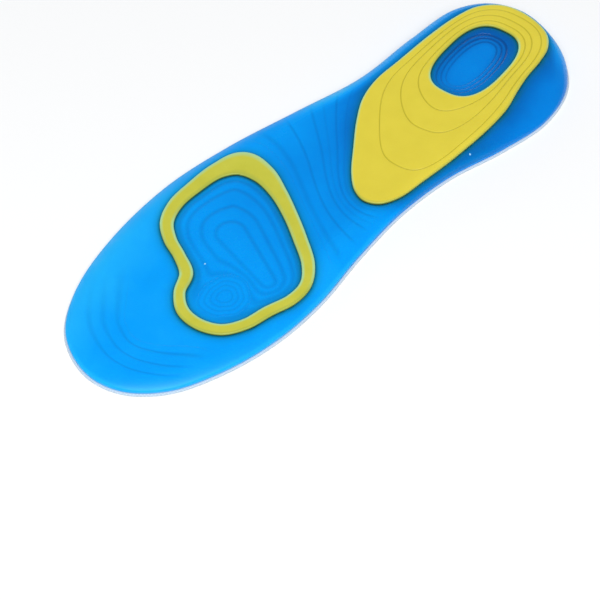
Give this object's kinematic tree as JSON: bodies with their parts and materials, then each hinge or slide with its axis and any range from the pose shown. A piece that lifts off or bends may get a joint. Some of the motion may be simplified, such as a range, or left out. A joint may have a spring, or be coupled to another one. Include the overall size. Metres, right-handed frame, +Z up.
{
  "type": "gel insole",
  "caption": "Full-length gel shoe insole with a cupped heel, a raised heel and arch pad round an oval window, a raised forefoot ring and a thin fabric cover on the foot side.",
  "frame": {"origin": "on the floor, under the middle of the insole's box, with the insole lying sole side up", "axes": "+X from the heel to the toe, +Y to the inner side of the foot, +Z up, out of the sole side"},
  "size_m": [0.2816, 0.0946, 0.014],
  "materials": {
    "blue_gel": "glossy translucent gel",
    "yellow_pad_gel": "satin gel",
    "yellow_ring_gel": "satin gel",
    "cover_fabric": "fine knit"
  },
  "bodies": {
    "root": {"gel_base": "blue_gel", "heel_arch_pad": "yellow_pad_gel", "forefoot_ring": "yellow_ring_gel", "top_cover": "cover_fabric"}
  },
  "joints": []
}
